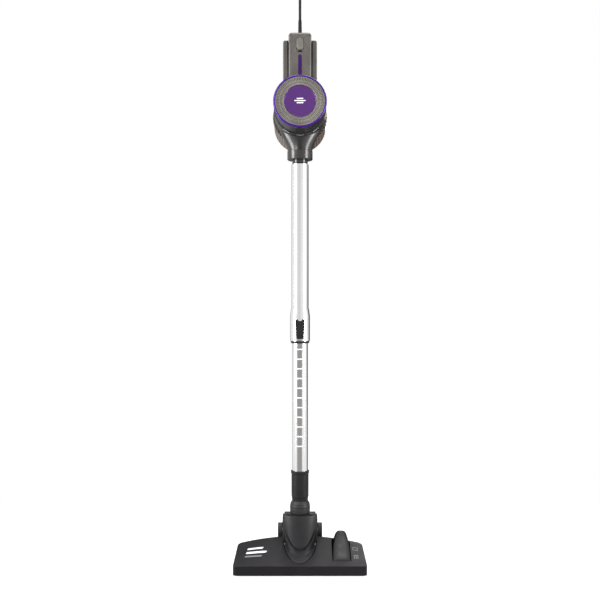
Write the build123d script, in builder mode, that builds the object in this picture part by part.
from build123d import *

import os
from math import cos, pi, radians, sin, tan

# A corded stick vacuum standing upright: floor head, telescopic wand and hand unit.
# Millimetres, +Z up, front towards -Y. The origin is on the floor below the wand's axis.

# ---- driving dimensions ----------------------------------------------------------------
FIT = 0.05  # radial clearance of a running fit
GAP = 0.3  # clearance between separate bodies

HEAD_WIDTH, HEAD_REAR_WIDTH = 266, 256
HEAD_FRONT, HEAD_REAR = -62, 23
SEAM_Z, FRONT_TOP_Z, REAR_TOP_Z, REAR_SIDE_Z = 18, 20.5, 59, 43
WALL = 2.4
SOLE_THICK = 2.0
SLOT_Y, BRISTLE_Y = -34, (-50, -18)  # suction slot, and the two bristle strips
PEDAL_X, PEDAL_PIVOT_Y, PEDAL_PIVOT_Z = 83.5, -36, 20
PEDAL_WIDTH, PEDAL_FRONT, PEDAL_REAR, PEDAL_TOP = 35, -45.5, 13.5, 73.2
NECK_Y, NECK_Z, BARREL_R = 2, 26, 18  # neck tilt axis, along X
NECK_TOP, NECK_SLOT_WIDTH = 109, 72  # the slot in the shell that the neck lies back through
WHEEL_Y, WHEEL_Z, WHEEL_R = 40, 66, 15
WHEEL_X, WHEEL_WIDTH = 36.6, 9.4

LOWER_TUBE_R, UPPER_TUBE_R, TUBE_WALL = 16, 17.5, 1.0
CUFF_BOTTOM, CUFF_TOP = 137, 198
LOWER_TUBE_TOP = 550
SLEEVE_BOTTOM, SLEEVE_TOP, SLEEVE_R = 462, 527, 20.25
UPPER_TUBE_TOP = 821
NOTCH_PITCH, NOTCH_TOP_Z, NOTCH_COUNT = 19.6, 445, 11

SOCKET_BOTTOM, SOCKET_R, FITTING_R = 830, 25.8, 15.8
FACE_Y, FACE_Z, UNIT_TILT = -85, 932, 4.8  # centre of the front grille, tilt of the unit's axis
GRILLE_R, BADGE_R, RING_R, UNIT_R, COLLAR_R, BIN_R = 48.5, 32, 52.4, 50.5, 52.6, 55
RING_BACK, SKIRT_BACK = 5.2, 18.6  # distances along the hand unit's axis
HOUSING_FRONT, HOUSING_BACK = 19.5, 51.5  # motor housing, distances along the unit's axis
INLET_FRONT, INLET_BACK = 60.3, 112
BIN_FRONT, BIN_BACK = 112.6, 184
SPINE_WIDTH, SPINE_TOP, RAIL_WIDTH, RAIL_TOP = 46, 1084, 68.7, 1070
SPINE_FRONT, POST_FRONT, POST_BACK = -28, -17, 8
POST_BOTTOM = 986

CORD_D = 5.4
COIL_Y, COIL_R, COIL_HALF_WIDTH, COIL_HEIGHT = 212, 34, 12.2, 25

# ---- frames ----------------------------------------------------------------------------
TILT_C, TILT_S = cos(radians(UNIT_TILT)), sin(radians(UNIT_TILT))
FACE = Vector(0, FACE_Y, FACE_Z)
REARWARD = Vector(0, TILT_C, -TILT_S)  # along the hand unit's axis, away from the grille
UNIT_AXIS = Axis(FACE, REARWARD)
UNIT_SIDE = Plane(origin=FACE, x_dir=(1, 0, 0), z_dir=(0, TILT_S, TILT_C))  # (radius, depth)
TOP_SLOPE = (REAR_TOP_Z - FRONT_TOP_Z) / (HEAD_REAR - HEAD_FRONT)


def unit_plane(depth):
    """A plane across the hand unit's axis, with X across and Y up."""
    return Plane(origin=FACE + REARWARD * depth, x_dir=(-1, 0, 0), z_dir=REARWARD)


def unit_point(depth, height=0.0):
    """A point at this depth along the hand unit's axis and this far above it."""
    return FACE + REARWARD * depth + Vector(0, TILT_S, TILT_C) * height


def outline(plane, points):
    """A closed face with straight sides."""
    with BuildSketch(plane) as face:
        with BuildLine():
            Polyline(*points, close=True)
        make_face()
    return face.sketch


def ring_section(plane, inner, outer, low, high):
    """A rectangle to turn into a ring: radius across, height or depth along."""
    return outline(plane, [(inner, low), (outer, low), (outer, high), (inner, high)])


def wand_ring(inner, outer, low, high):
    return ring_section(Plane.XZ, inner, outer, low, high)


def unit_ring(inner, outer, low, high):
    return ring_section(UNIT_SIDE, inner, outer, low, high)


def head_form(inset):
    """The floor head's outer shape, drawn in by inset, from a low front to a domed rear."""
    with BuildPart() as form:
        with BuildSketch(Plane.XZ.offset(-HEAD_FRONT - inset)):
            with BuildLine():
                half = HEAD_WIDTH / 2 - inset
                top = FRONT_TOP_Z - inset
                Line((-half, 0), (half, 0))
                Line((half, 0), (half, top))
                Line((half, top), (-half, top))
                Line((-half, top), (-half, 0))
            make_face()
        with BuildSketch(Plane.XZ.offset(-HEAD_REAR + inset)):
            with BuildLine():
                half = HEAD_REAR_WIDTH / 2 - inset
                side, top = REAR_SIDE_Z - inset, REAR_TOP_Z - inset
                Line((-half, 0), (half, 0))
                Line((half, 0), (half, side))
                ThreePointArc((half, side), (0, top), (-half, side))
                Line((-half, side), (-half, 0))
            make_face()
        loft()
        corners = form.edges().filter_by(Axis.Z)
        fillet(corners.group_by(Axis.Y)[-1], 9 - inset)
        fillet(corners.group_by(Axis.Y)[0], 6 - inset)
    return form.part


def tongue(grow, low, high):
    """The neck cover's plan shape, a tongue pointing forward, as an upright block."""
    with BuildPart() as block:
        with BuildSketch(Plane.XY.offset(low)):
            with BuildLine():
                tip = HEAD_FRONT + 7 - grow
                Spline((31.5 + grow, 24 + grow), (31 + grow, 2), (28.6 + grow, -18),
                       (16.8 + grow, -44), (0, tip), (-16.8 - grow, -44), (-28.6 - grow, -18),
                       (-31 - grow, 2), (-31.5 - grow, 24 + grow), tangents=[(0, -1), (0, 1)])
                Line((-31.5 - grow, 24 + grow), (31.5 + grow, 24 + grow))
            make_face()
        extrude(amount=high - low)
    return block.part


# ---- floor head ------------------------------------------------------------------------
os.makedirs("parts", exist_ok=True)
head_outer, head_inner = head_form(0), head_form(WALL)

with BuildPart() as sole_plate:
    with BuildSketch():
        with BuildLine():
            Polyline((-129, HEAD_FRONT + 3), (129, HEAD_FRONT + 3), (124, HEAD_REAR - 1.5),
                     (-124, HEAD_REAR - 1.5), close=True)
        make_face()
        fillet(vertices(), 6)
        with Locations((0, SLOT_Y)):
            SlotOverall(206, 13, mode=Mode.SUBTRACT)
        for y in BRISTLE_Y:
            with Locations((0, y)):
                Rectangle(216, 5.4, mode=Mode.SUBTRACT)
    extrude(amount=SOLE_THICK)
    fillet(sole_plate.faces().sort_by(Axis.Z)[0].outer_wire().edges(), 0.8)
sole_plate.part.label = "sole_plate"
export_step(sole_plate.part, "parts/sole_plate.step")

with BuildPart() as lower_chassis:  # front band and sides, the floor tray, the trunnion blocks
    add(head_outer)
    add(head_inner, mode=Mode.SUBTRACT)
    with BuildSketch(Plane.XY.offset(SEAM_Z - GAP / 2)):
        Rectangle(300, 200)
    extrude(amount=60, mode=Mode.SUBTRACT)
    with BuildSketch(Plane.XY):
        Rectangle(300, 200)
    extrude(amount=SOLE_THICK, mode=Mode.SUBTRACT)
    with BuildSketch(Plane.XY.offset(SOLE_THICK)):
        with Locations((0, (HEAD_FRONT + HEAD_REAR) / 2)):
            Rectangle(240, HEAD_REAR - HEAD_FRONT - 3)
    extrude(amount=1.6)
    with BuildSketch(Plane.XY.offset(SOLE_THICK)):
        with Locations((0, SLOT_Y)):
            SlotOverall(206, 13)
        for y in BRISTLE_Y:
            with Locations((0, y)):
                Rectangle(216, 6.4)
    extrude(amount=1.6, mode=Mode.SUBTRACT)
    for side in (-1, 1):
        with BuildSketch(Plane.YZ.offset(side * 37.4)):
            with Locations((NECK_Y, 14)):
                Rectangle(19, 21)
            with Locations((NECK_Y, NECK_Z)):
                Circle(9.5)
                Circle(6 + FIT, mode=Mode.SUBTRACT)
        extrude(amount=2.6, both=True)
    with BuildSketch(Plane.XY.offset(SOLE_THICK)):
        with Locations((0, HEAD_REAR)):
            Rectangle(71, 23)
    extrude(amount=40, mode=Mode.SUBTRACT)
lower_chassis.part.label = "lower_chassis"
export_step(lower_chassis.part, "parts/lower_chassis.step")

with BuildPart() as top_shell:
    add(head_outer)
    fillet(top_shell.faces().filter_by(Axis.Z, reverse=True).edges().group_by(Axis.Z)[-1], 1.5)
    add(head_inner, mode=Mode.SUBTRACT)
    with BuildSketch(Plane.XY):
        Rectangle(300, 200)
    extrude(amount=SEAM_Z + GAP / 2, mode=Mode.SUBTRACT)
    add(tongue(1.3, 4, 60), mode=Mode.SUBTRACT)
    with BuildSketch(Plane.XY):
        with Locations((0, 36.5)):
            Rectangle(NECK_SLOT_WIDTH, 50)
        with Locations((PEDAL_X, (PEDAL_FRONT + PEDAL_REAR + 3.7) / 2)):
            RectangleRounded(PEDAL_WIDTH + 2.6, PEDAL_REAR - PEDAL_FRONT + 7.1, 4)
    extrude(amount=60, mode=Mode.SUBTRACT)
top_shell.part.label = "top_shell"
export_step(top_shell.part, "parts/top_shell.step")


with BuildPart() as brush_carrier:  # frame that lowers both bristle strips
    with BuildSketch(Plane.XY.offset(4.0)):
        for y in BRISTLE_Y:
            with Locations((0, y)):
                Rectangle(214, 4.4)
    extrude(amount=4)
    with BuildSketch(Plane.XY.offset(8)):
        with GridLocations(194, BRISTLE_Y[1] - BRISTLE_Y[0], 2, 2):
            with Locations((0, SLOT_Y)):
                Rectangle(6, 4.4)
    extrude(amount=1.4)
    with BuildSketch(Plane.XY.offset(9.4)):
        for x in (-97, 97):
            with Locations((x, SLOT_Y)):
                Rectangle(6, BRISTLE_Y[1] - BRISTLE_Y[0] + 4.4)
    extrude(amount=3)
    with BuildSketch(Plane.XY.offset(8)):
        with Locations((PEDAL_X, BRISTLE_Y[1])):
            Rectangle(12, 4.4)
    extrude(amount=6.2)
brush_carrier.part.label = "brush_carrier"
export_step(brush_carrier.part, "parts/brush_carrier.step")

with BuildPart() as bristle_strips:
    with BuildSketch(Plane.XY.offset(0.6)):
        for y in BRISTLE_Y:
            for x in (-72, 0, 72):
                with Locations((x, y)):
                    Rectangle(68, 3.0)
    extrude(amount=3.4)
bristle_strips.part.label = "bristle_strips"
export_step(bristle_strips.part, "parts/bristle_strips.step")

with BuildPart() as pedal:  # tall thumb-shaped foot pedal, hinged at its low front edge
    with BuildSketch(Plane.YZ.offset(PEDAL_X)):
        with BuildLine():
            Polyline((-44.5, 17), (PEDAL_FRONT, 25), (-42, 28.5), (-8, 59), (2, 70))
            ThreePointArc((2, 70), (7.5, 73), (12, 68))
            Polyline((12, 68), (PEDAL_REAR, 34), (0, 24), (-12, 18.2), (-15, 14.6), (-21, 14.6),
                     (-24, 17), (-44.5, 17))
        make_face()
    extrude(amount=PEDAL_WIDTH / 2, both=True)
    with BuildSketch(Plane.XZ.offset(60)):
        with BuildLine():
            half = PEDAL_WIDTH / 2
            Spline((PEDAL_X - half, 26), (PEDAL_X - half + 2, 50), (PEDAL_X - 10.4, PEDAL_TOP - 5),
                   (PEDAL_X, PEDAL_TOP), (PEDAL_X + 10.4, PEDAL_TOP - 5),
                   (PEDAL_X + half - 2, 50), (PEDAL_X + half, 26))
            Polyline((PEDAL_X + half, 26), (PEDAL_X + half, 14), (PEDAL_X - half, 14),
                     (PEDAL_X - half, 26))
        make_face()
    extrude(amount=-100, mode=Mode.INTERSECT)
    with BuildSketch(Plane.YZ.offset(PEDAL_X)):
        with Locations((PEDAL_PIVOT_Y, PEDAL_PIVOT_Z)):
            Circle(1.5 + FIT)
    extrude(amount=PEDAL_WIDTH, both=True, mode=Mode.SUBTRACT)
pedal.part.label = "pedal"
export_step(pedal.part, "parts/pedal.step")

with BuildPart() as pedal_pin:
    with BuildSketch(Plane.YZ.offset(PEDAL_X)):
        with Locations((PEDAL_PIVOT_Y, PEDAL_PIVOT_Z)):
            Circle(1.5)
    extrude(amount=PEDAL_WIDTH / 2 + 4, both=True)
pedal_pin.part.label = "pedal_pin"
export_step(pedal_pin.part, "parts/pedal_pin.step")

with BuildPart() as pedal_brackets:  # two ears under the shell that carry the pedal's pin
    for side in (-1, 1):
        with BuildSketch(Plane.YZ.offset(PEDAL_X + side * (PEDAL_WIDTH / 2 + 2.6))):
            with Locations((PEDAL_PIVOT_Y, PEDAL_PIVOT_Z + 4)):
                Rectangle(7, 20)
            with Locations((PEDAL_PIVOT_Y, PEDAL_PIVOT_Z)):
                Circle(1.5, mode=Mode.SUBTRACT)
        extrude(amount=1.4, both=True)
    add(head_form(WALL + FIT), mode=Mode.INTERSECT)
pedal_brackets.part.label = "pedal_brackets"
export_step(pedal_brackets.part, "parts/pedal_brackets.step")

# ---- neck ------------------------------------------------------------------------------


def neck_block(grow):
    """The upright part of the neck: narrow and bowed low down, wide and square at the top."""
    sections = ((30, 24, -35, 17), (60, 32.5, -31, 25), (103, 35.4, -26, 24), (NECK_TOP, 35, -25, 23))
    with BuildPart() as block:
        for z, half, front, rear in sections:
            with BuildSketch(Plane.XY.offset(z)):
                with BuildLine():
                    half += grow
                    ThreePointArc((half, -10), (0, front - grow), (-half, -10))
                    Polyline((-half, -10), (-half, rear + grow), (half, rear + grow), (half, -10))
                make_face()
        loft()
    return block.part


with BuildPart() as neck_cover:  # front skin with the tongue that closes the well in the shell
    add(neck_block(0))
    add(neck_block(-2.6), mode=Mode.SUBTRACT)
    with BuildPart(mode=Mode.PRIVATE) as tongue_plate:
        add(tongue(0, 4, 60))
        with BuildSketch(Plane.YZ):
            with BuildLine():
                Polyline((-70, FRONT_TOP_Z - 8 * TOP_SLOPE + 1), (40, REAR_TOP_Z + 17 * TOP_SLOPE + 1),
                         (40, REAR_TOP_Z + 17 * TOP_SLOPE - 3), (-70, FRONT_TOP_Z - 8 * TOP_SLOPE - 3),
                         close=True)
            make_face()
        extrude(amount=60, both=True, mode=Mode.INTERSECT)
        add(neck_block(-2.6), mode=Mode.SUBTRACT)
    add(tongue_plate.part)
    with BuildSketch(Plane.XY):
        with Locations((0, 46)):
            Rectangle(120, 100)
    extrude(amount=200, mode=Mode.SUBTRACT)
    with BuildSketch(Plane.YZ):  # clears the tilting barrel behind it
        with Locations((NECK_Y, NECK_Z)):
            Circle(BARREL_R + 0.1)
    extrude(amount=40, both=True, mode=Mode.SUBTRACT)
neck_cover.part.label = "neck_cover"
export_step(neck_cover.part, "parts/neck_cover.step")

with BuildPart() as neck_housing:  # tilting barrel, duct, wheel bosses and the swivel's seat
    add(neck_block(-3.0))
    with BuildSketch(Plane.XZ.offset(6)):  # everything in front of the cover's rear edge goes
        with Locations((0, 60)):
            Rectangle(120, 140)
    extrude(amount=80, mode=Mode.SUBTRACT)
    with BuildSketch(Plane.YZ):  # side walls, a little proud of the cover
        with BuildLine():
            Polyline((-3.6, 57), (-3.6, 104), (24, 104), (46, 74), (46, 58), (30, 44),
                     (12.2, 44), (12.2, 57), close=True)
        make_face()
    extrude(amount=35.2, both=True)
    with BuildSketch(Plane.YZ):
        with BuildLine():
            Polyline((-3.6, 34), (-3.6, 57), (40, 57), (18, 34), close=True)
        make_face()
        with Locations((NECK_Y, NECK_Z)):
            Circle(BARREL_R)
    extrude(amount=24.8, both=True)
    with BuildSketch(Plane.YZ):
        with Locations((NECK_Y, NECK_Z)):
            Circle(6)
    extrude(amount=38.5, both=True)
    with BuildSketch(Plane.YZ):  # hollow barrel, open towards the suction slot
        with Locations((NECK_Y, NECK_Z)):
            Circle(BARREL_R - 2.2)
    extrude(amount=22, both=True, mode=Mode.SUBTRACT)
    with BuildSketch(Plane.XZ.offset(-NECK_Y + 4)):
        with Locations((0, 19)):
            Rectangle(40, 15)
    extrude(amount=20, mode=Mode.SUBTRACT)
    with BuildSketch(Plane.XY.offset(NECK_Z)):  # duct up to the swivel
        Circle(15)
    extrude(amount=100, mode=Mode.SUBTRACT)
    with BuildSketch(Plane.XY.offset(NECK_TOP - 6)):
        Circle(22)
        Circle(15, mode=Mode.SUBTRACT)
    extrude(amount=6.4)
    with BuildSketch(Plane.XY.offset(NECK_TOP)):  # spigot that the elbow turns on
        Circle(16.4)
        Circle(15, mode=Mode.SUBTRACT)
    extrude(amount=20)
    with BuildSketch(Plane.YZ):
        with Locations((WHEEL_Y, WHEEL_Z)):
            Circle(2.5)
    extrude(amount=60, both=True, mode=Mode.SUBTRACT)
neck_housing.part.label = "neck_housing"
export_step(neck_housing.part, "parts/neck_housing.step")

with BuildPart() as wheel_axles:  # a steel stub for each wheel, pressed into the neck
    for side in (-1, 1):
        with BuildSketch(Plane.YZ.offset(side * 26)):
            with Locations((WHEEL_Y, WHEEL_Z)):
                Circle(2.5)
        extrude(amount=side * (WHEEL_X + WHEEL_WIDTH - 27.5))
wheel_axles.part.label = "wheel_axles"
export_step(wheel_axles.part, "parts/wheel_axles.step")

for side, name in ((-1, "left"), (1, "right")):
    with BuildPart() as wheel:
        with BuildSketch(Plane.YZ.offset(side * WHEEL_X)):
            with Locations((WHEEL_Y, WHEEL_Z)):
                Circle(WHEEL_R - 2.4)
                Circle(2.5 + FIT, mode=Mode.SUBTRACT)
        extrude(amount=side * WHEEL_WIDTH)
        with BuildSketch(Plane.YZ.offset(side * (WHEEL_X + WHEEL_WIDTH))):
            with Locations((WHEEL_Y, WHEEL_Z)):
                Circle(WHEEL_R - 5)
                Circle(5, mode=Mode.SUBTRACT)
        extrude(amount=-side * 2.5, mode=Mode.SUBTRACT)
    wheel.part.label = f"wheel_{name}"
    export_step(wheel.part, f"parts/wheel_{name}.step")

    with BuildPart() as tyre:
        with BuildSketch(Plane.YZ.offset(side * WHEEL_X)):
            with Locations((WHEEL_Y, WHEEL_Z)):
                Circle(WHEEL_R)
                Circle(WHEEL_R - 2.4, mode=Mode.SUBTRACT)
        extrude(amount=side * WHEEL_WIDTH)
        chamfer(tyre.edges().filter_by(GeomType.CIRCLE).filter_by(
            lambda edge: edge.radius > WHEEL_R - 1), 0.9)
    tyre.part.label = f"tyre_{name}"
    export_step(tyre.part, f"parts/tyre_{name}.step")

with BuildPart() as swivel_elbow:  # turns on the neck's spigot
    with BuildSketch(Plane.XZ):
        with BuildLine():
            Polyline((16.4 + FIT, NECK_TOP + 1), (19.2, NECK_TOP + 1), (20.3, 114), (20.5, 119),
                     (20.5, 126), (19.4, 132), (17.2, 135.5), (16.2, CUFF_BOTTOM),
                     (14.6, CUFF_BOTTOM), (14.6, 131), (16.4 + FIT, 129.6), close=True)
        make_face()
    revolve(axis=Axis.Z)
    for height, size in ((116.4, 1.0), (123.4, 1.4), (129.2, 1.0)):  # ribs across the elbow
        revolve(wand_ring(20.5 - size, 22, height, height + 1.1), axis=Axis.Z,
                mode=Mode.SUBTRACT)
swivel_elbow.part.label = "swivel_elbow"
export_step(swivel_elbow.part, "parts/swivel_elbow.step")

with BuildPart() as wand_cuff:  # grip that takes the wand's lower end
    with BuildSketch(Plane.XZ):
        with BuildLine():
            Polyline((14.6, CUFF_BOTTOM), (16.3, CUFF_BOTTOM), (16.6, 142), (17.6, 146),
                     (17.7, 191), (18.65, 193.5), (18.65, 197.2), (17.6, CUFF_TOP),
                     (LOWER_TUBE_R + FIT, CUFF_TOP), (LOWER_TUBE_R + FIT, 152), (14.6, 152),
                     close=True)
        make_face()
    revolve(axis=Axis.Z)
wand_cuff.part.label = "wand_cuff"
export_step(wand_cuff.part, "parts/wand_cuff.step")

# ---- wand ------------------------------------------------------------------------------
with BuildPart() as lower_tube:  # with a shallow guide groove and the detent notches
    revolve(wand_ring(LOWER_TUBE_R - TUBE_WALL, LOWER_TUBE_R, 152.4, LOWER_TUBE_TOP), axis=Axis.Z)
    with BuildSketch(Plane.XZ.offset(LOWER_TUBE_R - 0.35)):
        with Locations((0, 382)):
            SlotOverall(360, 6, rotation=90)
    extrude(amount=4, mode=Mode.SUBTRACT)
    with BuildSketch(Plane.XZ.offset(LOWER_TUBE_R - 0.7)):
        for index in range(NOTCH_COUNT):
            with Locations((0, NOTCH_TOP_Z - index * NOTCH_PITCH)):
                RectangleRounded(9.6, 3, 1.2)
    extrude(amount=4, mode=Mode.SUBTRACT)
lower_tube.part.label = "lower_tube"
export_step(lower_tube.part, "parts/lower_tube.step")

with BuildPart() as upper_tube:
    revolve(wand_ring(UPPER_TUBE_R - TUBE_WALL, UPPER_TUBE_R, SLEEVE_BOTTOM + 0.4,
                      UPPER_TUBE_TOP), axis=Axis.Z)
    with BuildSketch(Plane.XZ.offset(10)):  # slot that the lock pin comes through
        with Locations((0, 479)):
            SlotOverall(17, 7, rotation=90)
    extrude(amount=10, mode=Mode.SUBTRACT)
upper_tube.part.label = "upper_tube"
export_step(upper_tube.part, "parts/upper_tube.step")

BUTTON_LOW, BUTTON_HIGH = 466.5, 506.4
with BuildPart() as telescope_sleeve:
    with BuildSketch(Plane.XZ):
        with BuildLine():
            Polyline((UPPER_TUBE_R, SLEEVE_BOTTOM), (SLEEVE_R, SLEEVE_BOTTOM), (SLEEVE_R, 512),
                     (UPPER_TUBE_R + 0.8, SLEEVE_TOP), (UPPER_TUBE_R, SLEEVE_TOP), close=True)
        make_face()
    revolve(axis=Axis.Z)
    with BuildSketch(Plane.XZ.offset(15)):  # window for the lock button
        with BuildLine():
            Polyline((-6.6, BUTTON_LOW - 4.3), (6.6, BUTTON_LOW - 4.3), (10.2, BUTTON_HIGH - 4),
                     (10.2, BUTTON_HIGH + 1), (-10.2, BUTTON_HIGH + 1),
                     (-10.2, BUTTON_HIGH - 4), close=True)
        make_face()
    extrude(amount=12, mode=Mode.SUBTRACT)
telescope_sleeve.part.label = "telescope_sleeve"
export_step(telescope_sleeve.part, "parts/telescope_sleeve.step")

with BuildPart() as sleeve_ring:
    revolve(wand_ring(LOWER_TUBE_R + 0.6, 19, SLEEVE_BOTTOM - 5, SLEEVE_BOTTOM), axis=Axis.Z)
    chamfer(sleeve_ring.edges().group_by(Axis.Z)[0].sort_by(SortBy.RADIUS)[-1], 1.4)
sleeve_ring.part.label = "sleeve_ring"
export_step(sleeve_ring.part, "parts/sleeve_ring.step")

with BuildPart() as guide_bush:  # low-friction bush between the two tubes
    revolve(wand_ring(LOWER_TUBE_R + FIT, UPPER_TUBE_R - TUBE_WALL, 492, 520), axis=Axis.Z)
    with BuildSketch(Plane.XY.offset(492)):
        with Locations((0, -LOWER_TUBE_R + 0.05)):
            Rectangle(4.6, 0.3)
    extrude(amount=28)
guide_bush.part.label = "guide_bush"
export_step(guide_bush.part, "parts/guide_bush.step")

with BuildPart() as lock_button:  # thumb slide with a finger hollow and a lock pin behind it
    with BuildSketch(Plane.XZ.offset(16)):
        with BuildLine():
            Polyline((-9.5, BUTTON_HIGH), (-9.5, BUTTON_HIGH - 5), (-5.9, BUTTON_LOW),
                     (5.9, BUTTON_LOW), (9.5, BUTTON_HIGH - 5), (9.5, BUTTON_HIGH))
            ThreePointArc((9.5, BUTTON_HIGH), (0, BUTTON_HIGH - 4), (-9.5, BUTTON_HIGH))
        make_face()
    extrude(amount=10)
    with BuildSketch(Plane.YZ):
        with BuildLine():
            Polyline((-18, 460), (-18.2, BUTTON_HIGH + 4), (-25.5, BUTTON_HIGH + 4))
            ThreePointArc((-25.5, BUTTON_HIGH + 4), (-21.6, BUTTON_HIGH - 13), (-22.6, 484))
            Polyline((-22.6, 484), (-24, 474), (-22, 460), (-18, 460))
        make_face()
    extrude(amount=20, both=True, mode=Mode.INTERSECT)
    revolve(wand_ring(0, UPPER_TUBE_R + 0.3, 450, 520), axis=Axis.Z, mode=Mode.SUBTRACT)
    with BuildSketch(Plane.XZ.offset(LOWER_TUBE_R + 0.1)):
        with Locations((0, 481)):
            RectangleRounded(5.4, 3, 1)
    extrude(amount=4)
lock_button.part.label = "lock_button"
export_step(lock_button.part, "parts/lock_button.step")

with BuildPart() as wand_fitting:  # plugs the wand into the hand unit
    with BuildSketch(Plane.XZ):
        with BuildLine():
            Polyline((13.4, 800), (UPPER_TUBE_R - TUBE_WALL, 800),
                     (UPPER_TUBE_R - TUBE_WALL, UPPER_TUBE_TOP), (17.2, UPPER_TUBE_TOP),
                     (16.6, UPPER_TUBE_TOP + 1.4), (FITTING_R, UPPER_TUBE_TOP + 2),
                     (FITTING_R, 866), (FITTING_R - 0.8, 868), (13.4, 868), close=True)
        make_face()
    revolve(axis=Axis.Z)
    with BuildSketch(Plane.XZ.offset(-13.8)):  # notch that the release catch drops into
        with Locations((0, 839)):
            Rectangle(9, 7)
    extrude(amount=-4, mode=Mode.SUBTRACT)
wand_fitting.part.label = "wand_fitting"
export_step(wand_fitting.part, "parts/wand_fitting.step")

# ---- hand unit -------------------------------------------------------------------------
def turned_unit(*rings):
    """Rings about the hand unit's axis, each (inner radius, outer radius, front, back)."""
    with BuildPart() as solid:
        for ring in rings:
            revolve(unit_ring(*ring), axis=UNIT_AXIS)
    return solid.part


with BuildPart() as cover_frame:  # twist-off front cover: skirt, spokes and hub
    add(turned_unit((46.2, GRILLE_R - 0.1, 3.4, 24), (46.2, UNIT_R, RING_BACK + FIT, SKIRT_BACK),
                    (10, 31, 3.4, 5.4)))
    with BuildSketch(unit_plane(3.4)):
        with PolarLocations(38.8, 8):
            Rectangle(17, 2.4)
    extrude(amount=2)
cover_frame.part.label = "cover_frame"
export_step(cover_frame.part, "parts/cover_frame.step")

with BuildPart() as vent_grille:  # flat ring of fine radial slots
    revolve(unit_ring(BADGE_R + 0.2, GRILLE_R, 0.6, 3.2), axis=UNIT_AXIS)
    with BuildSketch(unit_plane(0)):
        with PolarLocations(44, 90):
            SlotOverall(6.4, 1.2)
        with PolarLocations(37.4, 90):
            SlotOverall(4.6, 0.9)
    extrude(amount=5, mode=Mode.SUBTRACT)
vent_grille.part.label = "vent_grille"
export_step(vent_grille.part, "parts/vent_grille.step")

with BuildPart() as centre_badge:  # plain dished disc in a thin bright rim
    with BuildSketch(UNIT_SIDE):
        with BuildLine():
            Polyline((0, 3.2), (BADGE_R, 3.2), (BADGE_R, -0.2), (BADGE_R - 0.6, -0.8),
                     (BADGE_R - 1.6, -0.8), (BADGE_R - 2, -0.2), (BADGE_R / 2, -0.9),
                     (0, -1.2), close=True)
        make_face()
    revolve(axis=UNIT_AXIS)
centre_badge.part.label = "centre_badge"
export_step(centre_badge.part, "parts/centre_badge.step")

with BuildPart() as accent_ring:  # round-edged coloured rim round the grille
    with BuildSketch(UNIT_SIDE):
        with BuildLine():
            Polyline((GRILLE_R, 2), (GRILLE_R + 0.2, -0.6), (GRILLE_R + 1.4, -0.8))
            ThreePointArc((GRILLE_R + 1.4, -0.8), (GRILLE_R + 3.3, 0.2), (RING_R, 2.4))
            Polyline((RING_R, 2.4), (RING_R, RING_BACK - 1), (RING_R - 0.8, RING_BACK),
                     (GRILLE_R, RING_BACK), (GRILLE_R, 2))
        make_face()
    revolve(axis=UNIT_AXIS)
accent_ring.part.label = "accent_ring"
export_step(accent_ring.part, "parts/accent_ring.step")

with BuildPart() as exhaust_filter:  # pleated disc behind the grille
    revolve(unit_ring(0, 43.5, 6, 17), axis=UNIT_AXIS)
    with BuildSketch(unit_plane(6)):
        with GridLocations(7, 1, 11, 1):
            Rectangle(2.4, 60)
    extrude(amount=6, mode=Mode.SUBTRACT)
exhaust_filter.part.label = "exhaust_filter"
export_step(exhaust_filter.part, "parts/exhaust_filter.step")

with BuildPart() as motor_housing:  # dark glossy barrel with the motor's front bulkhead
    add(turned_unit((48.4 + GAP, UNIT_R, HOUSING_FRONT, 26), (45, UNIT_R, 26, HOUSING_BACK),
                    (35.2, 46, 26, 28.5), (42, 47, HOUSING_BACK - 3, INLET_FRONT)))
    with BuildSketch(unit_plane(26)):
        with PolarLocations(40.4, 12):
            Circle(2.6)
    extrude(amount=3, mode=Mode.SUBTRACT)
motor_housing.part.label = "motor_housing"
export_step(motor_housing.part, "parts/motor_housing.step")

with BuildPart() as motor_can:
    add(turned_unit((32.5, 35, 22, 54), (5, 33, 22, 24.4), (24, 33, 52, 54)))
    with BuildSketch(unit_plane(20)):
        with PolarLocations(22, 8):
            SlotOverall(12, 6)
    extrude(amount=6, mode=Mode.SUBTRACT)
motor_can.part.label = "motor_can"
export_step(motor_can.part, "parts/motor_can.step")

with BuildPart() as motor_rotor:  # shaft, wound core and the fan that draws the air
    add(turned_unit((0, 5 - FIT, 18.5, 58.6), (0, 18, 28, 48), (0, 23, 54.6, 56.2),
                    (0, 10, 50, 58)))
    with BuildSketch(unit_plane(56)):
        with PolarLocations(15.5, 9):
            Rectangle(13, 1.4)
    extrude(amount=2.6)
motor_rotor.part.label = "motor_rotor"
export_step(motor_rotor.part, "parts/motor_rotor.step")

with BuildPart() as lock_collar:  # twist collar that locks the bin, with grip ribs
    with BuildSketch(UNIT_SIDE):
        with BuildLine():
            Polyline((UNIT_R + FIT, 52), (COLLAR_R - 0.8, 52), (COLLAR_R, 53.2),
                     (COLLAR_R, 58.6), (COLLAR_R - 0.6, 59.8), (UNIT_R + FIT, 59.8), close=True)
        make_face()
    revolve(axis=UNIT_AXIS)
    with BuildSketch(unit_plane(51)):
        for start in (229, 262, 299):
            with PolarLocations(COLLAR_R + 0.4, 6, start_angle=start, angular_range=16):
                Circle(1.0)
    extrude(amount=9, mode=Mode.SUBTRACT)
    revolve(unit_ring(47 + FIT, UNIT_R + 1, 52, 59.8), axis=UNIT_AXIS)
lock_collar.part.label = "lock_collar"
export_step(lock_collar.part, "parts/lock_collar.step")


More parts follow.
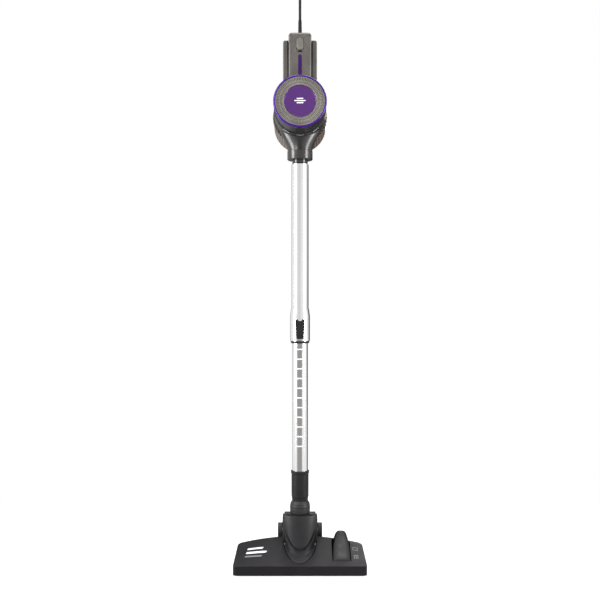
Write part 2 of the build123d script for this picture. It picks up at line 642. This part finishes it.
def funnel(grow, low, high):
    """The flared inlet, from a round collar up to a wide flat mouth, grown by grow."""
    sections = ((848, 25.3, 25.3, 0), (858, 27.2, 23.4, -0.5), (872, 33.2, 21.6, -1.5),
                (886, 39.6, 20.4, -2.5), (902, 43, 19.4, -3.5))
    with BuildPart() as solid:
        for z, half_x, half_y, y in sections:
            with BuildSketch(Plane.XY.offset(z)):
                with Locations((0, y)):
                    Ellipse(half_x + grow, half_y + grow + 0.01)
        loft()
    return solid.part


with BuildPart() as inlet_housing:  # round housing with the inlet funnel and the handle's pad
    add(turned_unit((0, 52.4, INLET_FRONT, INLET_BACK)))
    add(funnel(0, 848, 902))
    with BuildSketch(Plane.XY.offset(940)):
        with Locations((0, (POST_FRONT + POST_BACK) / 2)):
            RectangleRounded(60, POST_BACK - POST_FRONT, 4)
    extrude(amount=POST_BOTTOM - 940)
    add(turned_unit((0, 49.6, INLET_FRONT + 2.6, INLET_BACK + 1)), mode=Mode.SUBTRACT)
    add(funnel(-2.4, 848, 902), mode=Mode.SUBTRACT)
    with BuildSketch(unit_plane(INLET_FRONT - 2)):  # way through to the motor
        Circle(30)
    extrude(amount=8, mode=Mode.SUBTRACT)
    add(turned_unit((42, 49.8, INLET_BACK - 8, INLET_BACK)))
    add(turned_unit((49.8, 54, INLET_BACK - 6, INLET_BACK)))
inlet_housing.part.label = "inlet_housing"
export_step(inlet_housing.part, "parts/inlet_housing.step")

with BuildPart() as wand_socket:  # collar that the wand plugs into
    revolve(wand_ring(FITTING_R + 2 * FIT, SOCKET_R, SOCKET_BOTTOM, 847.8), axis=Axis.Z)
    revolve(wand_ring(FITTING_R + 2 * FIT, 19, 847.8, 859), axis=Axis.Z)
    chamfer(wand_socket.edges().group_by(Axis.Z)[0].sort_by(SortBy.RADIUS)[-1], 1.2)
    with BuildSketch(Plane.XZ.offset(-14)):  # window for the release catch, at the back
        with Locations((0, 839)):
            Rectangle(11.6, 17)
    extrude(amount=-14, mode=Mode.SUBTRACT)
wand_socket.part.label = "wand_socket"
export_step(wand_socket.part, "parts/wand_socket.step")

with BuildPart() as release_button:  # rear push button whose catch holds the wand
    with BuildSketch(Plane.XZ.offset(-15.2)):
        with Locations((0, 839)):
            RectangleRounded(10.8, 16.2, 3)
    extrude(amount=-13.3)
    with BuildSketch(Plane.YZ):
        with BuildLine():
            Polyline((15, 830), (27, 830), (28, 839), (27, 848), (15, 848), close=True)
        make_face()
    extrude(amount=20, both=True, mode=Mode.INTERSECT)
    revolve(wand_ring(0, FITTING_R + 2.4, 820, 870), axis=Axis.Z, mode=Mode.SUBTRACT)
release_button.part.label = "release_button"
export_step(release_button.part, "parts/release_button.step")

with BuildPart() as intake_filter:  # foam disc before the motor
    revolve(unit_ring(0, 41, 64, 76), axis=UNIT_AXIS)
intake_filter.part.label = "intake_filter"
export_step(intake_filter.part, "parts/intake_filter.step")

with BuildPart() as cyclone_plate:  # plate over the bin's mouth with the inlet's way through
    add(turned_unit((0, 41.8, 105, 108.6), (24, 27.2, 108.6, 114)))
    with BuildSketch(unit_plane(100)):
        Circle(20)
        with PolarLocations(36, 3, start_angle=240, angular_range=60):
            Circle(6)
    extrude(amount=10, mode=Mode.SUBTRACT)
cyclone_plate.part.label = "cyclone_plate"
export_step(cyclone_plate.part, "parts/cyclone_plate.step")

with BuildPart() as mesh_shroud:  # perforated cylinder that the air leaves the bin through
    add(turned_unit((27.4, 29.4, 109, 158), (0, 29.4, 158, 160.4), (27.4, 33, 155, 158)))
    for row in range(5):
        with BuildSketch(Plane(origin=unit_point(115 + 8.5 * row), x_dir=(1, 0, 0),
                               z_dir=(0, TILT_S, TILT_C))):
            SlotOverall(7, 3.2)
        holes = extrude(amount=40, both=True, mode=Mode.PRIVATE)
        for step in range(6):
            add(holes.rotate(UNIT_AXIS, 15 + 30 * step), mode=Mode.SUBTRACT)
mesh_shroud.part.label = "mesh_shroud"
export_step(mesh_shroud.part, "parts/mesh_shroud.step")

DOOR_PIN = unit_point(BIN_BACK + 1.4, -BIN_R - 4.2)
with BuildPart() as bin_cup:  # clear dust bin
    add(turned_unit((BIN_R - 2.2, BIN_R, BIN_FRONT + 2, BIN_BACK),
                    (BIN_R - 0.7, BIN_R + 1.0, BIN_FRONT, BIN_FRONT + 4)))
    for height, depth, width, length, thick in (  # hinge block below, latch pad on top
            (-BIN_R - 5.4, 177, 11, 14, 5.8), (BIN_R - 0.6, 170.5, 15, 23, 2.4)):
        with BuildSketch(Plane(origin=unit_point(depth, height), x_dir=(1, 0, 0),
                               z_dir=(0, TILT_S, TILT_C))):
            Rectangle(width, length)
        extrude(amount=thick)
    with BuildSketch(Plane.YZ):
        with Locations((DOOR_PIN.Y, DOOR_PIN.Z)):
            Circle(3.4)
    extrude(amount=5.5, both=True)
    with BuildSketch(Plane.YZ):
        with Locations((DOOR_PIN.Y, DOOR_PIN.Z)):
            Circle(1.5)
    extrude(amount=20, both=True, mode=Mode.SUBTRACT)
bin_cup.part.label = "bin_cup"
export_step(bin_cup.part, "parts/bin_cup.step")

with BuildPart() as bin_seal:
    revolve(unit_ring(BIN_R - 4.4, BIN_R - 2.2, BIN_BACK - 3, BIN_BACK - 0.6), axis=UNIT_AXIS)
bin_seal.part.label = "bin_seal"
export_step(bin_seal.part, "parts/bin_seal.step")

with BuildPart() as bin_door:  # dished door hinged at the bottom
    with BuildSketch(UNIT_SIDE):
        with BuildLine():
            front = BIN_BACK + 0.4
            Polyline((0, front), (BIN_R, front), (BIN_R, front + 3), (BIN_R - 2, front + 5),
                     (36, front + 5), (32, front + 3), (0, front + 3), close=True)
        make_face()
    revolve(axis=UNIT_AXIS)
    for side in (-1, 1):
        with BuildSketch(Plane.YZ.offset(side * 8.4)):
            with BuildLine():
                inner = unit_point(BIN_BACK + 4, -BIN_R + 4)
                outer = unit_point(BIN_BACK + 4, -BIN_R - 3)
                Polyline((inner.Y - 2.6, inner.Z), (inner.Y + 1, inner.Z),
                         (outer.Y + 1, outer.Z), (outer.Y - 2.6, outer.Z), close=True)
            make_face()
            with Locations((DOOR_PIN.Y, DOOR_PIN.Z)):
                Circle(3.4)
                Circle(1.5 + FIT, mode=Mode.SUBTRACT)
        extrude(amount=2.4, both=True)
bin_door.part.label = "bin_door"
export_step(bin_door.part, "parts/bin_door.step")

with BuildPart() as door_pin:
    with BuildSketch(Plane.YZ):
        with Locations((DOOR_PIN.Y, DOOR_PIN.Z)):
            Circle(1.5)
    extrude(amount=11.6, both=True)
door_pin.part.label = "door_pin"
export_step(door_pin.part, "parts/door_pin.step")

with BuildPart() as door_latch:  # thumb catch over the top of the door
    with BuildSketch(Plane.YZ):
        with BuildLine():
            points = ((160, BIN_R + 2.2), (186, BIN_R + 2.2), (188, BIN_R + 0.5),
                      (190.4, BIN_R + 0.5), (191, BIN_R + 4.4), (176, BIN_R + 4.4),
                      (160, BIN_R + 4.2))
            corners = [unit_point(*point) for point in points]
            Polyline(*[(corner.Y, corner.Z) for corner in corners], close=True)
        make_face()
    extrude(amount=7, both=True)
door_latch.part.label = "door_latch"
export_step(door_latch.part, "parts/door_latch.step")

# ---- handle ----------------------------------------------------------------------------
with BuildPart() as spine_cover:  # front channel with the switch, closed at the top
    with BuildSketch(Plane.XY.offset(POST_BOTTOM - 8)):
        with Locations((0, (SPINE_FRONT + POST_BACK - 8) / 2)):
            Rectangle(SPINE_WIDTH, POST_BACK - 8 - SPINE_FRONT)
    extrude(amount=SPINE_TOP - POST_BOTTOM + 8)
    fillet(spine_cover.edges().filter_by(Axis.Z).group_by(Axis.Y)[0], 4)
    fillet(spine_cover.edges().filter_by(Axis.Y).group_by(Axis.Z)[-1], 8)
    with BuildSketch(Plane.XY.offset(POST_BOTTOM - 9)):
        with Locations((0, (SPINE_FRONT + 2.2 + POST_BACK) / 2)):
            Rectangle(SPINE_WIDTH - 4.4, POST_BACK - SPINE_FRONT - 2.2)
    extrude(amount=SPINE_TOP - POST_BOTTOM + 9 - 9, mode=Mode.SUBTRACT)
    add(turned_unit((0, COLLAR_R + 0.6, 40, 110)), mode=Mode.SUBTRACT)
    with BuildSketch(Plane.XY.offset(POST_BOTTOM + GAP / 2)):  # sits round the housing's pad
        with Locations((0, POST_FRONT + 50 - GAP)):
            Rectangle(100, 100)
    extrude(amount=-30, mode=Mode.SUBTRACT)
    with BuildSketch(Plane.XZ.offset(-SPINE_FRONT - 1.2)):  # switch recess
        with Locations((0, 1056.5)):
            SlotOverall(33, 15.6, rotation=90)
    extrude(amount=4, mode=Mode.SUBTRACT)
    with BuildSketch(Plane.XZ.offset(-SPINE_FRONT - 6)):
        with Locations((0, 1056.5)):
            SlotOverall(20, 5, rotation=90)
    extrude(amount=8, mode=Mode.SUBTRACT)
    with BuildSketch(Plane.XZ.offset(-SPINE_FRONT - 0.8)):  # accent strip's groove
        with Locations((0, (1038 + 984) / 2)):
            SlotOverall(1038 - 984, 6.4, rotation=90)
    extrude(amount=4, mode=Mode.SUBTRACT)
    with BuildSketch(Plane.XY.offset(SPINE_TOP)):
        with Locations((0, -10)):
            Circle(4.6)
    extrude(amount=-12, mode=Mode.SUBTRACT)
spine_cover.part.label = "spine_cover"
export_step(spine_cover.part, "parts/spine_cover.step")

with BuildPart() as accent_strip:
    with BuildSketch(Plane.XZ.offset(-SPINE_FRONT - 0.8)):
        with Locations((0, (1038 + 984) / 2)):
            SlotOverall(1038 - 984, 6.4, rotation=90)
    extrude(amount=1.5)
accent_strip.part.label = "accent_strip"
export_step(accent_strip.part, "parts/accent_strip.step")

with BuildPart() as switch_slider:  # oval thumb slide, shown up, switched on by moving down
    with BuildSketch(Plane.XZ.offset(-SPINE_FRONT - 1.0)):
        with Locations((0, 1060)):
            SlotOverall(25, 14, rotation=90)
    extrude(amount=2.6)
    fillet(switch_slider.faces().sort_by(Axis.Y)[0].edges(), 1.6)
    with BuildSketch(Plane.XZ.offset(-SPINE_FRONT - 8)):
        with Locations((0, 1059.5)):
            SlotOverall(12, 4.4, rotation=90)
    extrude(amount=7.4)
switch_slider.part.label = "switch_slider"
export_step(switch_slider.part, "parts/switch_slider.step")

with BuildPart() as switch_body:
    with BuildSketch(Plane.XZ.offset(-SPINE_FRONT - 22)):
        with Locations((0, 1053)):
            RectangleRounded(15, 26, 1)
    extrude(amount=13.4)
switch_body.part.label = "switch_body"
export_step(switch_body.part, "parts/switch_body.step")


def handle_outline(inset):
    """Side outline of the D-shaped handle with its finger gap, walls drawn in by inset."""
    with BuildSketch(Plane.YZ) as side:
        with BuildLine():
            Polyline((-5 + inset, POST_BOTTOM + inset), (-5 + inset, RAIL_TOP - 1 - inset),
                     (92, RAIL_TOP - 6 - inset), (116 - inset, 1050), (118 - inset, 988),
                     (104, 984.5 + inset), (POST_BACK, POST_BOTTOM + inset), close=True)
        make_face()
        fillet(side.vertices().group_by(Axis.X)[-1], 8)
        with BuildLine():
            low, high = 1000 - inset, 1041 + inset
            Polyline((POST_BACK + 2 - inset, low), (POST_BACK + 2 - inset, high),
                     (88 + inset, high - 2), (101 + inset, high - 12), (102 + inset, low),
                     close=True)
        make_face(mode=Mode.SUBTRACT)
    return side.sketch


for side, name in ((1, "right"), (-1, "left")):
    with BuildPart() as handle_shell:
        extrude(handle_outline(0), amount=17.5, dir=(side, 0, 0))
        with BuildSketch(Plane.XY.offset(POST_BOTTOM + GAP / 2)):
            with Locations((side * (SPINE_WIDTH / 2 + RAIL_WIDTH / 2 + 0.3) / 2,
                            (POST_FRONT + POST_BACK) / 2)):
                Rectangle((RAIL_WIDTH - SPINE_WIDTH) / 2 - 0.3, POST_BACK - POST_FRONT)
            with Locations((side * RAIL_WIDTH / 4, POST_BACK - 4)):
                Rectangle(RAIL_WIDTH / 2, 8)
        extrude(amount=RAIL_TOP - POST_BOTTOM - GAP / 2)
        extrude(handle_outline(2.4), amount=15, dir=(side, 0, 0), mode=Mode.SUBTRACT)
    handle_shell.part.label = f"handle_{name}"
    export_step(handle_shell.part, f"parts/handle_{name}.step")

# ---- cord ------------------------------------------------------------------------------
CORD_Y, RELIEF_TOP = -10, SPINE_TOP + 28
with BuildPart() as strain_relief:  # ribbed taper that grips the cord at the handle's top
    with BuildSketch(Plane.XZ.offset(-CORD_Y)):
        with BuildLine():
            Polyline((0, SPINE_TOP - 11.4), (6.6, SPINE_TOP - 11.4), (6.6, SPINE_TOP - 9.4),
                     (4.5, SPINE_TOP - 9.4), (4.5, SPINE_TOP), (3.9, SPINE_TOP + 2),
                     (3.5, RELIEF_TOP),
                     (0, RELIEF_TOP), close=True)
        make_face()
    revolve(axis=Axis((0, CORD_Y, 0), (0, 0, 1)))
    for step in range(5):
        with BuildSketch(Plane.XY.offset(SPINE_TOP + 5 + 5 * step)):
            with Locations((0, CORD_Y)):
                Circle(6)
                Circle(3.5 - 0.13 * step, mode=Mode.SUBTRACT)
        extrude(amount=1.8, mode=Mode.SUBTRACT)
strain_relief.part.label = "strain_relief"
export_step(strain_relief.part, "parts/strain_relief.step")

with BuildPart() as cord_clamp:  # bar that holds the cord inside the handle
    with BuildSketch(Plane.XY.offset(SPINE_TOP - 15)):
        with Locations((0, -11.6)):
            RectangleRounded(30, 11, 2)
        with Locations((0, CORD_Y)):
            Circle(2.6, mode=Mode.SUBTRACT)
    extrude(amount=3.4)
cord_clamp.part.label = "cord_clamp"
export_step(cord_clamp.part, "parts/cord_clamp.step")

# Up from the handle, over in one arch held from above, and down behind the wand.
CORD_ROUTE = [
    (0, -10, 1112), (0, -11, 1168), (0, -9, 1232), (0, 8, 1292), (0, 54, 1338), (0, 115, 1353),
    (0, 177, 1340), (0, 224, 1297), (0, 245, 1237), (0, 252, 1170), (1, 249, 1100),
    (4, 252, 1028), (2, 256, 955), (-2, 253, 882), (-5, 248, 808), (-3, 251, 735),
    (2, 255, 661), (5, 252, 588), (3, 247, 515), (-2, 250, 442), (-5, 254, 369),
    (-2, 252, 297), (3, 249, 228), (8, 255, 160), (12, 261, 102), (14, 262, 60),
    (9, 258, 26), (-9, 250, 9), (-31, 238, 5.5),
]


def corner_radii(points):
    """The largest arcs that the runs on both sides of each corner allow."""
    radii = []
    for before, here, after in zip(points, points[1:], points[2:]):
        first, second = Vector(*here) - Vector(*before), Vector(*after) - Vector(*here)
        turn = radians(first.get_angle(second))
        radii.append(0.45 * min(first.length, second.length) / tan(turn / 2))
    return radii


radii = corner_radii(CORD_ROUTE)
print("cord radii", [round(radius) for radius in radii])
with BuildPart() as cord_tube:
    with BuildLine():
        cord_path = FilletPolyline(*CORD_ROUTE, radius=radii)
    with BuildSketch(Plane(origin=cord_path @ 0, z_dir=cord_path % 0)):
        Circle(CORD_D / 2)
    sweep()
cord_tube.part.label = "cord_tube"
export_step(cord_tube.part, "parts/cord_tube.step")
expected = pi * CORD_D**2 / 4 * cord_path.length
print("cord tube length", round(cord_path.length), "volume share",
      round(cord_tube.part.volume / expected, 4))

with BuildPart() as cord_coil:
    with BuildSketch(Plane.XZ.offset(-COIL_Y)):
        with Locations((COIL_R, COIL_HEIGHT / 2)):
            RectangleRounded(2 * COIL_HALF_WIDTH, COIL_HEIGHT, 2.6)
    revolve(axis=Axis((0, COIL_Y, 0), (0, 0, 1)))
cord_coil.part.label = "cord_coil"
export_step(cord_coil.part, "parts/cord_coil.step")

PLUG_Y, PLUG_Z = COIL_Y + 6, COIL_HEIGHT + 8
with BuildPart() as plug_body:  # slim moulded two-pin plug lying on the coil
    with BuildSketch(Plane.XY.offset(COIL_HEIGHT)):
        with BuildLine():
            Polyline((-22, PLUG_Y - 13), (-22, PLUG_Y + 13), (-6, PLUG_Y + 17), (2, PLUG_Y + 10),
                     (14, PLUG_Y + 4.4), (14, PLUG_Y - 4.4), (2, PLUG_Y - 10), (-6, PLUG_Y - 17),
                     close=True)
        make_face()
        fillet(vertices(), 2)
    extrude(amount=15.4)
    chamfer(plug_body.faces().sort_by(Axis.Z)[-1].edges(), 1.6)
plug_body.part.label = "plug_body"
export_step(plug_body.part, "parts/plug_body.step")

with BuildPart() as plug_pins:
    for y in (-9.5, 9.5):
        with BuildSketch(Plane.YZ.offset(-22)):
            with Locations((PLUG_Y + y, PLUG_Z)):
                Circle(2)
        extrude(amount=-19)
plug_pins.part.label = "plug_pins"
export_step(plug_pins.part, "parts/plug_pins.step")
